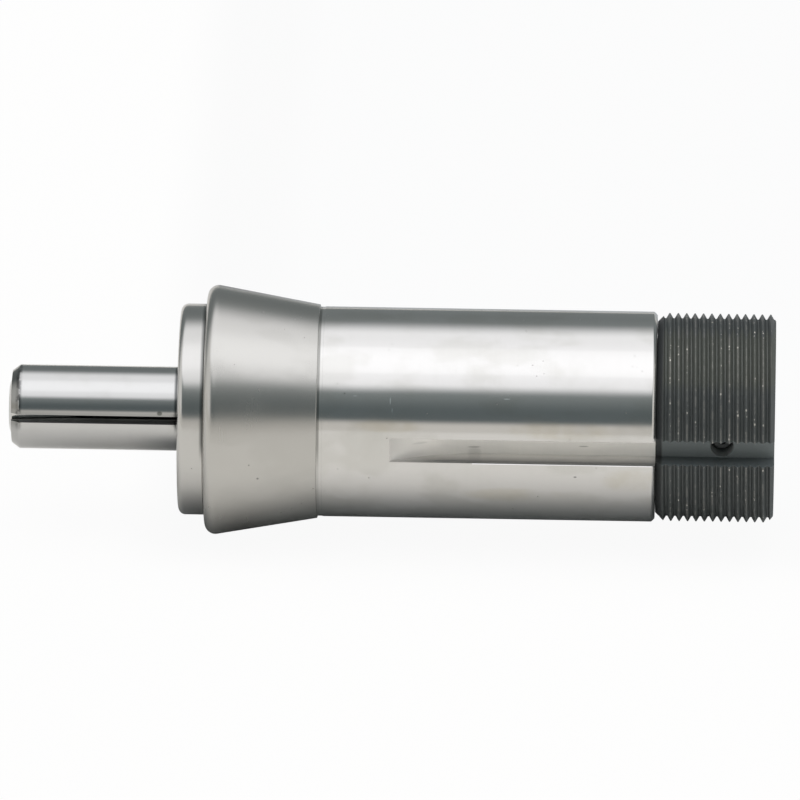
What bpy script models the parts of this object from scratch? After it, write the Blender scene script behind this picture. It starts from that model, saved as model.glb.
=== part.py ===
"""Expanding collet: a taper-headed collet body with a slit plug that a draw bolt opens.

The tool's axis is X. The plug points to -X, the draw thread to +X, and the keyway faces -Y. The origin is on the
axis, in the plane of the head's front face. Sizes are in metres.
"""

import math

import bmesh
import bpy
from mathutils import Matrix, Vector

MM = 0.001

# Gaps
GAP = 0.3 * MM
PLUG_GAP = 0.35 * MM
BOLT_CLEARANCE = 0.8 * MM
DRAW_TRAVEL = 2.0 * MM

# Collet body, outside
BODY_RADIUS = 15.875 * MM
BODY_REAR_BEVEL = 0.5 * MM
HEAD_RISE = 2.97 * MM
HEAD_TAPER = math.radians(10.0)
HEAD_LENGTH = 17.0 * MM
HEAD_CORNER_RADIUS = 1.6 * MM
HEAD_RELIEF_WIDTH = 0.8 * MM
HEAD_RELIEF_DEPTH = 0.06 * MM

# Keyway, cut by a disc cutter and carried on over the draw sleeve. Its depth is a share of the body's radius
KEYWAY_WIDTH = 3.8 * MM
KEYWAY_DEPTH_SHARE = 0.271
KEYWAY_FRONT = 27.8 * MM
KEYWAY_CUTTER_RADIUS = 25.0 * MM

# Collet body, inside: the plug's seat in front, a web, and the spring's chamber behind. The chamber leaves a wall
# under the keyway that is a share of the body's radius
ROOT_LENGTH = 10.7 * MM
WEB_THICKNESS = 10.0 * MM
CHAMBER_WALL_SHARE = 0.112
CHAMBER_LENGTH = 32.0 * MM
CHAMBER_MOUTH_BEVEL = 0.6 * MM

# Slit plug. Its bore is a share of its radius
PLUG_RADIUS = 6.35 * MM
PLUG_REACH = 25.4 * MM
PLUG_CHAMFER_LENGTH = 1.2 * MM
PLUG_CHAMFER_DEPTH = 0.9 * MM
PLUG_MOUTH_WALL = 0.65 * MM
PLUG_BORE_SHARE = 0.598
PLUG_NECK_RELIEF = 0.95 * MM
PLUG_NECK_FRONT = 1.5 * MM
FINGERS = 3
SLIT_WIDTH = 1.2 * MM
FIRST_SLIT_ANGLE = math.radians(4.1)
FINGER_HINGE = 15.0 * MM
ROOT_WALL = 1.85 * MM
ROOT_BOSS_LENGTH = 2.2 * MM
ROOT_BEVEL = 0.4 * MM

# Stop collar and its screws
COLLAR_OVERSIZE = 0.075 * MM
COLLAR_FRONT = 4.0 * MM
COLLAR_FRONT_ROUND = 1.05 * MM
COLLAR_REAR_BEVEL = 0.3 * MM
PILOT_STEP = 1.0 * MM
PILOT_LENGTH = 2.4 * MM
COLLAR_SCREWS = 3
COLLAR_SCREW_RADIUS = 1.5 * MM
COLLAR_SCREW_HEAD_RADIUS = 2.75 * MM
COLLAR_SCREW_HEAD_LAND = 0.25 * MM
COLLAR_SCREW_LENGTH = 9.0 * MM
COLLAR_SCREW_SINK = 0.15 * MM
COLLAR_SCREW_HEX = 2.0 * MM
COLLAR_SCREW_HEX_DEPTH = 1.1 * MM

# Guide bush in the web
BUSH_WALL = 1.7 * MM
BUSH_FLANGE = 1.5 * MM
BUSH_FLANGE_THICKNESS = 1.6 * MM

# Draw bolt
BOLT_NOSE = 0.4 * MM
BOLT_NOSE_TAPER = 1.2 * MM
BOLT_HEAD_LAND = 0.7 * MM
BOLT_CONE = math.radians(7.0)
BOLT_HEX = 4.0 * MM
BOLT_HEX_DEPTH = 3.0 * MM
BOLT_TAIL_RECESS = 3.4 * MM
BOLT_TAIL_BEVEL = 0.5 * MM
BOLT_SLOT_WIDTH = 1.0 * MM
BOLT_SLOT_DEPTH = 1.0 * MM

# Spring and what it bears on
SPRING_COLLAR_CLEARANCE = 0.8 * MM
SPRING_COLLAR_WIDTH = 4.0 * MM
SPRING_COLLAR_LIP = 1.2 * MM
CROSS_PIN_RADIUS = 1.0 * MM
CROSS_PIN_BEVEL = 0.2 * MM
SPRING_CLEARANCE = 1.15 * MM
SPRING_LENGTH = 12.0 * MM
SPRING_WIRE_RADIUS = 0.75 * MM
SPRING_TURNS = 5
SPRING_END_GAP = 0.25 * MM
SPRING_SEGMENTS = 16
WASHER_THICKNESS = 1.5 * MM
RING_THICKNESS = 1.2 * MM
RING_GRIP = 0.6 * MM
RING_WIDTH = 1.8 * MM
RING_MOUTH_ANGLE = math.radians(24.0)
RING_EAR_ANGLE = math.radians(18.0)
RING_EAR_DEPTH = 1.5 * MM

# Draw sleeve
THREAD_STEP = 0.15 * MM
THREAD_DEPTH = 0.78 * MM
SLEEVE_FRONT_CHAMFER = 1.3 * MM
SLEEVE_REAR_CHAMFER_LENGTH = 0.7 * MM
SLEEVE_REAR_CHAMFER_DEPTH = 1.0 * MM
SPIGOT_LENGTH = 6.0 * MM
SPIGOT_BEVEL = 0.6 * MM
SLEEVE_RECESS_RADIUS = 5.5 * MM
SLEEVE_RECESS_DEPTH = 5.0 * MM
SLEEVE_RECESS_BEVEL = 0.5 * MM

# Guide pins between body and sleeve
GUIDE_PIN_RADIUS = 1.25 * MM
GUIDE_PIN_BEVEL = 0.25 * MM
GUIDE_PIN_IN_BODY = 8.0 * MM
GUIDE_PIN_HOLD = 6.0 * MM

# Lock screw in the keyway's floor, between the sleeve's front and rear
LOCK_HOLE_RADIUS = 1.75 * MM
LOCK_HOLE_FROM_FRONT = 9.7 * MM
LOCK_HOLE_FROM_REAR = 7.9 * MM
LOCK_SCREW_SINK = 2.4 * MM
LOCK_PAD_LENGTH = 1.775 * MM
LOCK_SCREW_BEVEL = 0.25 * MM
LOCK_SCREW_HEX = 1.5 * MM
LOCK_SCREW_HEX_DEPTH = 1.6 * MM

# Facets round a full turn
BIG_SEGMENTS = 64
MIDDLE_SEGMENTS = 40
SMALL_SEGMENTS = 20
CORNER_STEPS = 4

# Radii that follow from the sizes above
HEAD_RADIUS = BODY_RADIUS + HEAD_RISE
COLLAR_RADIUS = BODY_RADIUS + COLLAR_OVERSIZE
THREAD_RADIUS = BODY_RADIUS - THREAD_STEP
THREAD_ROOT_RADIUS = THREAD_RADIUS - THREAD_DEPTH
KEYWAY_DEPTH = BODY_RADIUS * KEYWAY_DEPTH_SHARE
KEYWAY_FLOOR = BODY_RADIUS - KEYWAY_DEPTH
CHAMBER_RADIUS = KEYWAY_FLOOR - BODY_RADIUS * CHAMBER_WALL_SHARE
PLUG_BORE_RADIUS = PLUG_RADIUS * PLUG_BORE_SHARE
BOLT_RADIUS = PLUG_BORE_RADIUS - BOLT_CLEARANCE
BOLT_HOLE_RADIUS = BOLT_RADIUS + GAP
PLUG_NECK_RADIUS = PLUG_RADIUS - PLUG_NECK_RELIEF
PLUG_CONE_GAP = GAP / math.cos(BOLT_CONE)
PLUG_MOUTH_RADIUS = PLUG_RADIUS - PLUG_CHAMFER_DEPTH - PLUG_MOUTH_WALL
BOLT_HEAD_RADIUS = PLUG_MOUTH_RADIUS - PLUG_CONE_GAP
ROOT_RADIUS = PLUG_RADIUS + ROOT_WALL
PILOT_RADIUS = ROOT_RADIUS + PILOT_STEP
COLLAR_SCREW_CIRCLE = (PILOT_RADIUS + COLLAR_RADIUS - COLLAR_FRONT_ROUND) / 2
BUSH_RADIUS = BOLT_HOLE_RADIUS + BUSH_WALL
BUSH_FLANGE_RADIUS = BUSH_RADIUS + BUSH_FLANGE
SPRING_COLLAR_RADIUS = CHAMBER_RADIUS - SPRING_COLLAR_CLEARANCE
SPRING_COIL_RADIUS = CHAMBER_RADIUS - SPRING_CLEARANCE - SPRING_WIRE_RADIUS
WASHER_RADIUS = CHAMBER_RADIUS - GAP
RING_RADIUS = CHAMBER_RADIUS + RING_GRIP
SPIGOT_RADIUS = CHAMBER_RADIUS - GAP
GUIDE_PIN_CIRCLE = (CHAMBER_RADIUS + THREAD_ROOT_RADIUS) / 2

# Places along the axis that follow from the sizes above
BOLT_FRONT = -COLLAR_FRONT - PLUG_REACH - BOLT_NOSE
PLUG_FRONT = -COLLAR_FRONT - PLUG_REACH
ROOT_FRONT = FINGER_HINGE
ROOT_REAR = ROOT_FRONT + ROOT_LENGTH
WEB_FRONT = ROOT_REAR + GAP
WEB_REAR = WEB_FRONT + WEB_THICKNESS
SPRING_COLLAR_FRONT = WEB_REAR + GAP
SPRING_COLLAR_REAR = SPRING_COLLAR_FRONT + SPRING_COLLAR_WIDTH
SPRING_FRONT = SPRING_COLLAR_REAR + GAP
WASHER_FRONT = SPRING_FRONT + SPRING_LENGTH + GAP
RING_FRONT = WASHER_FRONT + WASHER_THICKNESS + GAP
BODY_REAR = WEB_REAR + CHAMBER_LENGTH
SLEEVE_FRONT = BODY_REAR + GAP
LOCK_HOLE_PLACE = SLEEVE_FRONT + LOCK_HOLE_FROM_FRONT
SLEEVE_REAR = LOCK_HOLE_PLACE + LOCK_HOLE_FROM_REAR
BOLT_REAR = SLEEVE_REAR - BOLT_TAIL_RECESS


def clear_scene():
    for old in list(bpy.data.objects):
        bpy.data.objects.remove(old, do_unlink=True)


def material(name, colour, metallic, roughness):
    finish = bpy.data.materials.new(name)
    finish.use_nodes = True
    shader = finish.node_tree.nodes["Principled BSDF"]
    shader.inputs["Base Color"].default_value = (*colour, 1.0)
    shader.inputs["Metallic"].default_value = metallic
    shader.inputs["Roughness"].default_value = roughness
    return finish


def frame(name, place=Matrix.Identity(4)):
    """An empty that carries the pieces of one moving body."""
    empty = bpy.data.objects.new(name, None)
    bpy.context.scene.collection.objects.link(empty)
    empty.matrix_world = place
    return empty


def piece(name, bm, finish, carrier, place=Matrix.Identity(4)):
    """Turns a bmesh into one smooth-shaded object, placed in its carrier's frame."""
    bmesh.ops.remove_doubles(bm, verts=bm.verts, dist=1e-7)
    bmesh.ops.recalc_face_normals(bm, faces=bm.faces)
    mesh = bpy.data.meshes.new(name)
    bm.to_mesh(mesh)
    bm.free()
    mesh.shade_smooth()
    mesh.set_sharp_from_angle(angle=math.radians(25.0))
    mesh.materials.append(finish)
    made = bpy.data.objects.new(name, mesh)
    bpy.context.scene.collection.objects.link(made)
    made.parent = carrier
    made.matrix_local = place
    return made


def cut(target, cutter, operation="DIFFERENCE"):
    """Adds a Boolean to the target and hides its cutter."""
    boolean = target.modifiers.new(cutter.name, "BOOLEAN")
    boolean.object = cutter
    boolean.operation = operation
    boolean.solver = "EXACT"
    cutter.hide_render = True
    cutter.display_type = "WIRE"


def arc(centre, radius, start, end, steps=CORNER_STEPS):
    """Points of an arc in the outline's plane, with both ends. Angles are in degrees from +X towards +R."""
    angles = [math.radians(start + (end - start) * i / steps) for i in range(steps + 1)]
    return [(centre[0] + radius * math.cos(a), centre[1] + radius * math.sin(a)) for a in angles]


def turned(outline, segments):
    """Spins an outline of (x, r) points round the X axis. One that starts and ends on the axis is left open there."""
    bm = bmesh.new()
    corners = [bm.verts.new((x, 0.0, r)) for x, r in outline]
    edges = [bm.edges.new(pair) for pair in zip(corners, corners[1:])]
    if outline[0][1] > 0.0:
        edges.append(bm.edges.new((corners[-1], corners[0])))
    bmesh.ops.spin(
        bm,
        geom=corners + edges,
        axis=(1.0, 0.0, 0.0),
        cent=(0.0, 0.0, 0.0),
        angle=math.tau,
        steps=segments,
        use_merge=True,
    )
    return bm


def plain_pin(front, rear, radius, bevel=0.0):
    """Outline of a solid pin with bevelled ends."""
    if bevel == 0.0:
        return [(front, 0.0), (front, radius), (rear, radius), (rear, 0.0)]
    return [
        (front, 0.0),
        (front, radius - bevel),
        (front + bevel, radius),
        (rear - bevel, radius),
        (rear, radius - bevel),
        (rear, 0.0),
    ]


def extruded(outline, depth):
    """Extrudes a closed outline of 3-D points along the vector depth."""
    bm = bmesh.new()
    face = bm.faces.new([bm.verts.new(point) for point in outline])
    grown = bmesh.ops.extrude_face_region(bm, geom=[face])
    moved = [item for item in grown["geom"] if isinstance(item, bmesh.types.BMVert)]
    bmesh.ops.translate(bm, verts=moved, vec=Vector(depth))
    return bm


def hexagon(across_flats, front, depth):
    """A hexagonal prism along X, as a socket's cutter."""
    corner = across_flats / math.sqrt(3.0)
    turn = math.tau / 6
    ring = [(front, corner * math.cos(turn * i), corner * math.sin(turn * i)) for i in range(6)]
    return extruded(ring, (depth, 0.0, 0.0))


def along(direction, start=(0.0, 0.0, 0.0)):
    """Turns the X axis of a pin to a direction and moves it to a start."""
    turn = Vector((1.0, 0.0, 0.0)).rotation_difference(Vector(direction))
    return Matrix.Translation(start) @ turn.to_matrix().to_4x4()


def about_axis(angle, distance=0.0, x=0.0):
    """Place on a circle round the tool's axis, at an angle from straight up."""
    return Matrix.Translation((x, 0.0, 0.0)) @ Matrix.Rotation(angle, 4, "X") @ Matrix.Translation((0.0, 0.0, distance))


def slit_angle(index):
    """Turn about X that brings straight up to a slit. The first slit is just above the keyway's side."""
    return math.radians(90.0) - FIRST_SLIT_ANGLE + math.tau * index / FINGERS


def finger_angle(index):
    return slit_angle(index) + math.pi / FINGERS


def collet_body(finish, carrier):
    corner_centre = HEAD_RADIUS - HEAD_CORNER_RADIUS
    taper_start = HEAD_CORNER_RADIUS * (1.0 + math.sin(HEAD_TAPER))
    taper_top = corner_centre + HEAD_CORNER_RADIUS * math.cos(HEAD_TAPER)
    taper_foot = taper_top - (HEAD_LENGTH - taper_start) * math.tan(HEAD_TAPER)
    relief = BODY_RADIUS - HEAD_RELIEF_DEPTH
    relief_rear = HEAD_LENGTH + HEAD_RELIEF_WIDTH
    groove_front = RING_FRONT - GAP
    groove_rear = RING_FRONT + RING_THICKNESS + GAP
    groove_radius = RING_RADIUS + GAP
    bush_seat = WEB_FRONT + BUSH_FLANGE_THICKNESS + 2 * GAP
    pilot_seat = PILOT_LENGTH + GAP
    outline = [
        *arc((HEAD_CORNER_RADIUS, corner_centre), HEAD_CORNER_RADIUS, 180.0, 90.0),
        (taper_start, taper_top),
        (HEAD_LENGTH, taper_foot),
        (HEAD_LENGTH, relief),
        (relief_rear, relief),
        (relief_rear, BODY_RADIUS),
        (BODY_REAR - BODY_REAR_BEVEL, BODY_RADIUS),
        (BODY_REAR, BODY_RADIUS - BODY_REAR_BEVEL),
        (BODY_REAR, CHAMBER_RADIUS + CHAMBER_MOUTH_BEVEL),
        (BODY_REAR - CHAMBER_MOUTH_BEVEL, CHAMBER_RADIUS),
        (groove_rear, CHAMBER_RADIUS),
        (groove_rear, groove_radius),
        (groove_front, groove_radius),
        (groove_front, CHAMBER_RADIUS),
        (WEB_REAR, CHAMBER_RADIUS),
        (WEB_REAR, BUSH_RADIUS + GAP),
        (bush_seat, BUSH_RADIUS + GAP),
        (bush_seat, BUSH_FLANGE_RADIUS + GAP),
        (WEB_FRONT, BUSH_FLANGE_RADIUS + GAP),
        (WEB_FRONT, ROOT_RADIUS + GAP),
        (pilot_seat, ROOT_RADIUS + GAP),
        (pilot_seat, PILOT_RADIUS + GAP),
        (0.0, PILOT_RADIUS + GAP),
    ]
    return piece("collet_body", turned(outline, BIG_SEGMENTS), finish, carrier)


def keyway_cutter(finish, carrier):
    """The keyway's side view, swept across its width: a cutter's run-in, then a straight floor to the rear."""
    centre_out = KEYWAY_FLOOR + KEYWAY_CUTTER_RADIUS
    entry = math.acos(1.0 - KEYWAY_DEPTH / KEYWAY_CUTTER_RADIUS)
    centre = KEYWAY_FRONT + KEYWAY_CUTTER_RADIUS * math.sin(entry)
    start = 270.0 - math.degrees(entry)
    beyond = SLEEVE_REAR + KEYWAY_DEPTH
    half = KEYWAY_WIDTH / 2
    run = arc((centre, centre_out), KEYWAY_CUTTER_RADIUS, start, 270.0, 2 * CORNER_STEPS)
    side = [(KEYWAY_FRONT, centre_out), *run, (beyond, KEYWAY_FLOOR), (beyond, centre_out)]
    outline = [(x, -out, -half) for x, out in side]
    return piece("keyway_cutter", extruded(outline, (0.0, 0.0, KEYWAY_WIDTH)), finish, carrier)


def stop_collar(finish, carrier):
    front = -COLLAR_FRONT
    rear = -GAP
    bore = PLUG_RADIUS + PLUG_GAP
    outline = [
        (front, bore),
        *arc(
            (front + COLLAR_FRONT_ROUND, COLLAR_RADIUS - COLLAR_FRONT_ROUND), COLLAR_FRONT_ROUND, 180.0, 90.0
        ),
        (rear - COLLAR_REAR_BEVEL, COLLAR_RADIUS),
        (rear, COLLAR_RADIUS - COLLAR_REAR_BEVEL),
        (rear, PILOT_RADIUS),
        (PILOT_LENGTH, PILOT_RADIUS),
        (PILOT_LENGTH, bore),
    ]
    return piece("stop_collar", turned(outline, BIG_SEGMENTS), finish, carrier)


def collar_screw_outline(grow=0.0, extra=0.0):
    """Countersunk screw with its head at x = 0. Its hole has the same outline, grown by a clearance."""
    head = COLLAR_SCREW_HEAD_RADIUS + grow
    shank = COLLAR_SCREW_RADIUS + grow
    land = COLLAR_SCREW_HEAD_LAND
    return [
        (-extra, 0.0),
        (-extra, head),
        (land, head),
        (land + head - shank, shank),
        (COLLAR_SCREW_LENGTH + grow, shank),
        (COLLAR_SCREW_LENGTH + grow, 0.0),
    ]


def collar_screws(finish, carrier, collar, body):
    for index in range(COLLAR_SCREWS):
        angle = slit_angle(index) + math.tau / COLLAR_SCREWS / 2
        place = about_axis(angle, COLLAR_SCREW_CIRCLE, -COLLAR_FRONT + COLLAR_SCREW_SINK)
        screw = piece(
            f"collar_screw_{index + 1}", turned(collar_screw_outline(), SMALL_SEGMENTS), finish, carrier, place
        )
        socket = hexagon(COLLAR_SCREW_HEX, -GAP, COLLAR_SCREW_HEX_DEPTH + GAP)
        cut(screw, piece(f"collar_screw_socket_{index + 1}", socket, finish, carrier, place))
        hole = turned(collar_screw_outline(GAP, 2 * GAP), SMALL_SEGMENTS)
        cutter = piece(f"collar_screw_hole_{index + 1}", hole, finish, carrier, place)
        cut(collar, cutter)
        cut(body, cutter)


def plug_finger_outline():
    """Side view of the slit plug, seen from its hinge: a coned mouth, a bore and a thin neck towards the root."""
    front = PLUG_FRONT - FINGER_HINGE
    rear = -GAP
    neck_front = PLUG_NECK_FRONT - FINGER_HINGE
    cone_start = BOLT_FRONT + BOLT_HEAD_LAND - FINGER_HINGE
    mouth = PLUG_MOUTH_RADIUS
    cone_end = cone_start + (mouth - PLUG_BORE_RADIUS) / math.tan(BOLT_CONE)
    return [
        (front, mouth),
        (front, PLUG_RADIUS - PLUG_CHAMFER_DEPTH),
        (front + PLUG_CHAMFER_LENGTH, PLUG_RADIUS),
        (neck_front, PLUG_RADIUS),
        (neck_front + PLUG_RADIUS - PLUG_NECK_RADIUS, PLUG_NECK_RADIUS),
        (rear, PLUG_NECK_RADIUS),
        (rear, PLUG_BORE_RADIUS),
        (cone_end, PLUG_BORE_RADIUS),
        (cone_start, mouth),
    ]


def finger_sector():
    """A wedge between two slit walls, with its apex half a slit from the axis."""
    half = math.pi / FINGERS
    apex = SLIT_WIDTH / 2 / math.sin(half)
    reach = 4 * PLUG_RADIUS
    front = BOLT_FRONT - FINGER_HINGE - PLUG_RADIUS
    sides = [
        (front, reach * math.sin(half) * side, apex + reach * math.cos(half))
        for side in (-1.0, 1.0)
    ]
    return extruded([(front, 0.0, apex), *sides], (-front + PLUG_RADIUS, 0.0, 0.0))


def arbor_finger(index, finish, body):
    place = about_axis(finger_angle(index), 0.0, FINGER_HINGE)
    hinge = frame(f"finger_hinge_{index + 1}", place)
    hinge.parent = body
    finger = piece(f"arbor_finger_{index + 1}", turned(plug_finger_outline(), MIDDLE_SEGMENTS), finish, hinge)
    sector = piece(f"finger_sector_{index + 1}", finger_sector(), finish, hinge)
    cut(finger, sector, "INTERSECT")


def arbor_root(finish, carrier):
    boss_rear = ROOT_FRONT + ROOT_BOSS_LENGTH
    outline = [
        (ROOT_FRONT, PLUG_BORE_RADIUS),
        (ROOT_FRONT, PLUG_NECK_RADIUS),
        (boss_rear, PLUG_NECK_RADIUS),
        (boss_rear, ROOT_RADIUS - ROOT_BEVEL),
        (boss_rear + ROOT_BEVEL, ROOT_RADIUS),
        (ROOT_REAR - ROOT_BEVEL, ROOT_RADIUS),
        (ROOT_REAR, ROOT_RADIUS - ROOT_BEVEL),
        (ROOT_REAR, PLUG_BORE_RADIUS),
    ]
    return piece("arbor_root", turned(outline, MIDDLE_SEGMENTS), finish, carrier)


def guide_bush(finish, carrier):
    front = WEB_FRONT + GAP
    shoulder = front + BUSH_FLANGE_THICKNESS
    bore = BOLT_HOLE_RADIUS
    outline = [
        (front, bore),
        (front, BUSH_FLANGE_RADIUS),
        (shoulder, BUSH_FLANGE_RADIUS),
        (shoulder, BUSH_RADIUS),
        (WEB_REAR - GAP, BUSH_RADIUS),
        (WEB_REAR - GAP, bore),
    ]
    return piece("guide_bush", turned(outline, MIDDLE_SEGMENTS), finish, carrier)


def draw_bolt(finish, carrier):
    cone_start = BOLT_FRONT + BOLT_HEAD_LAND
    cone_end = cone_start + (BOLT_HEAD_RADIUS - BOLT_RADIUS) / math.tan(BOLT_CONE)
    outline = [
        (BOLT_FRONT, 0.0),
        (BOLT_FRONT, BOLT_HEAD_RADIUS - BOLT_NOSE_TAPER),
        (BOLT_FRONT + BOLT_NOSE, BOLT_HEAD_RADIUS),
        (cone_start, BOLT_HEAD_RADIUS),
        (cone_end, BOLT_RADIUS),
        (BOLT_REAR - BOLT_TAIL_BEVEL, BOLT_RADIUS),
        (BOLT_REAR, BOLT_RADIUS - BOLT_TAIL_BEVEL),
        (BOLT_REAR, 0.0),
    ]
    bolt = piece("draw_bolt", turned(outline, MIDDLE_SEGMENTS), finish, carrier)
    socket = hexagon(BOLT_HEX, BOLT_FRONT - GAP, BOLT_HEX_DEPTH + GAP)
    cut(bolt, piece("draw_bolt_socket", socket, finish, carrier))
    half = BOLT_SLOT_WIDTH / 2
    reach = BOLT_RADIUS + GAP
    slot = [(BOLT_REAR - BOLT_SLOT_DEPTH, y, -reach) for y in (-half, half)]
    slot += [(BOLT_REAR + GAP, y, -reach) for y in (half, -half)]
    cut(bolt, piece("draw_bolt_slot", extruded(slot, (0.0, 0.0, 2 * reach)), finish, carrier))
    return bolt


def spring_collar(finish, carrier):
    rear = SPRING_COLLAR_REAR
    lip_rear = rear + SPRING_COLLAR_LIP
    lip_radius = SPRING_COIL_RADIUS - SPRING_WIRE_RADIUS - 2 * GAP
    outline = [
        (SPRING_COLLAR_FRONT, BOLT_HOLE_RADIUS),
        (SPRING_COLLAR_FRONT, SPRING_COLLAR_RADIUS),
        (rear, SPRING_COLLAR_RADIUS),
        (rear, lip_radius),
        (lip_rear, lip_radius - GAP),
        (lip_rear, BOLT_HOLE_RADIUS),
    ]
    return piece("spring_collar", turned(outline, MIDDLE_SEGMENTS), finish, carrier)


def spring_collar_pin(finish, carrier, collar, bolt):
    middle = SPRING_COLLAR_FRONT + SPRING_COLLAR_WIDTH / 2
    half = SPRING_COLLAR_RADIUS - GAP
    place = along((0.0, 0.0, 1.0), (middle, 0.0, 0.0))
    pin = plain_pin(-half, half, CROSS_PIN_RADIUS, CROSS_PIN_BEVEL)
    piece("spring_collar_pin", turned(pin, SMALL_SEGMENTS), finish, carrier, place)
    reach = SPRING_COLLAR_RADIUS + GAP
    hole = turned(plain_pin(-reach, reach, CROSS_PIN_RADIUS + GAP), SMALL_SEGMENTS)
    cutter = piece("spring_collar_pin_hole", hole, finish, carrier, place)
    cut(collar, cutter)
    cut(bolt, cutter)


def return_spring(finish, carrier):
    """A round wire along a helix whose first and last turns lie close, with plain ends."""
    front = SPRING_FRONT + SPRING_WIRE_RADIUS
    travel = SPRING_LENGTH - 2 * SPRING_WIRE_RADIUS
    end_pitch = 2 * SPRING_WIRE_RADIUS + SPRING_END_GAP
    open_pitch = (travel - 2 * end_pitch) / (SPRING_TURNS - 2)
    curve = bpy.data.curves.new("return_spring", "CURVE")
    curve.dimensions = "3D"
    curve.bevel_depth = SPRING_WIRE_RADIUS
    curve.bevel_resolution = 2
    curve.use_fill_caps = True
    wire = curve.splines.new("POLY")
    points = SPRING_TURNS * SPRING_SEGMENTS + 1
    wire.points.add(points - 1)
    for index in range(points):
        turn = index / SPRING_SEGMENTS
        closed_turns = min(turn, 1.0) + max(turn - (SPRING_TURNS - 1), 0.0)
        x = front + end_pitch * closed_turns + open_pitch * (turn - closed_turns)
        angle = math.tau * turn
        y = SPRING_COIL_RADIUS * math.cos(angle)
        z = SPRING_COIL_RADIUS * math.sin(angle)
        wire.points[index].co = (x, y, z, 1.0)
    curve.materials.append(finish)
    spring = bpy.data.objects.new("return_spring", curve)
    bpy.context.scene.collection.objects.link(spring)
    spring.parent = carrier


def spring_seat_washer(finish, carrier):
    rear = WASHER_FRONT + WASHER_THICKNESS
    bore = BOLT_RADIUS + BOLT_CLEARANCE
    outline = [
        (WASHER_FRONT, bore),
        (WASHER_FRONT, WASHER_RADIUS),
        (rear, WASHER_RADIUS),
        (rear, bore),
    ]
    return piece("spring_seat_washer", turned(outline, MIDDLE_SEGMENTS), finish, carrier)


def retaining_ring(finish, carrier):
    """Internal snap ring, open at the bottom, with an ear and a plier hole on each side of its mouth."""
    half_mouth = math.degrees(RING_MOUTH_ANGLE) / 2
    ear = math.degrees(RING_EAR_ANGLE)
    inner = RING_RADIUS - RING_WIDTH
    ear_inner = inner - RING_EAR_DEPTH
    first = -90.0 + half_mouth
    last = 270.0 - half_mouth
    steps = MIDDLE_SEGMENTS // 2
    outline = [
        *arc((0.0, 0.0), RING_RADIUS, first, last, steps),
        *arc((0.0, 0.0), ear_inner, last, last - ear, 2),
        *arc((0.0, 0.0), inner, last - ear, first + ear, steps),
        *arc((0.0, 0.0), ear_inner, first + ear, first, 2),
    ]
    flat = [(RING_FRONT, y, z) for y, z in outline]
    ring = piece("retaining_ring", extruded(flat, (RING_THICKNESS, 0.0, 0.0)), finish, carrier)
    hole_radius = RING_EAR_DEPTH / 3
    for side, middle in (("left", first + ear / 2), ("right", last - ear / 2)):
        angle = math.radians(middle)
        centre = (RING_FRONT, inner * math.cos(angle), inner * math.sin(angle))
        hole = turned(plain_pin(-GAP, RING_THICKNESS + GAP, hole_radius), SMALL_SEGMENTS // 2)
        cutter = piece(f"retaining_ring_hole_{side}", hole, finish, carrier, Matrix.Translation(centre))
        cut(ring, cutter)


def draw_sleeve(finish, carrier):
    spigot_front = SLEEVE_FRONT - SPIGOT_LENGTH
    recess = SLEEVE_REAR - SLEEVE_RECESS_DEPTH
    outline = [
        (spigot_front, BOLT_HOLE_RADIUS),
        (spigot_front, SPIGOT_RADIUS - SPIGOT_BEVEL),
        (spigot_front + SPIGOT_BEVEL, SPIGOT_RADIUS),
        (SLEEVE_FRONT, SPIGOT_RADIUS),
        (SLEEVE_FRONT, THREAD_RADIUS - SLEEVE_FRONT_CHAMFER),
        (SLEEVE_FRONT + SLEEVE_FRONT_CHAMFER, THREAD_RADIUS),
        (SLEEVE_REAR - SLEEVE_REAR_CHAMFER_LENGTH, THREAD_RADIUS),
        (SLEEVE_REAR, THREAD_RADIUS - SLEEVE_REAR_CHAMFER_DEPTH),
        (SLEEVE_REAR, SLEEVE_RECESS_RADIUS + SLEEVE_RECESS_BEVEL),
        (SLEEVE_REAR - SLEEVE_RECESS_BEVEL, SLEEVE_RECESS_RADIUS),
        (recess, SLEEVE_RECESS_RADIUS),
        (recess, BOLT_HOLE_RADIUS),
    ]
    return piece("draw_sleeve", turned(outline, BIG_SEGMENTS), finish, carrier)


def guide_pins(finish, carrier, body, sleeve):
    """Dowels in the body that still reach into the sleeve when it is drawn all the way back."""
    front = BODY_REAR - GUIDE_PIN_IN_BODY
    rear = SLEEVE_FRONT + DRAW_TRAVEL + GUIDE_PIN_HOLD
    for name, side in (("upper", 0.0), ("lower", math.pi)):
        place = about_axis(side, GUIDE_PIN_CIRCLE)
        pin = plain_pin(front + GAP, rear, GUIDE_PIN_RADIUS, GUIDE_PIN_BEVEL)
        piece(f"guide_pin_{name}", turned(pin, SMALL_SEGMENTS), finish, carrier, place)
        hole = turned(plain_pin(front, rear + 2 * GAP, GUIDE_PIN_RADIUS + GAP), SMALL_SEGMENTS)
        cutter = piece(f"guide_pin_hole_{name}", hole, finish, carrier, place)
        cut(body, cutter)
        cut(sleeve, cutter)


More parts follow.
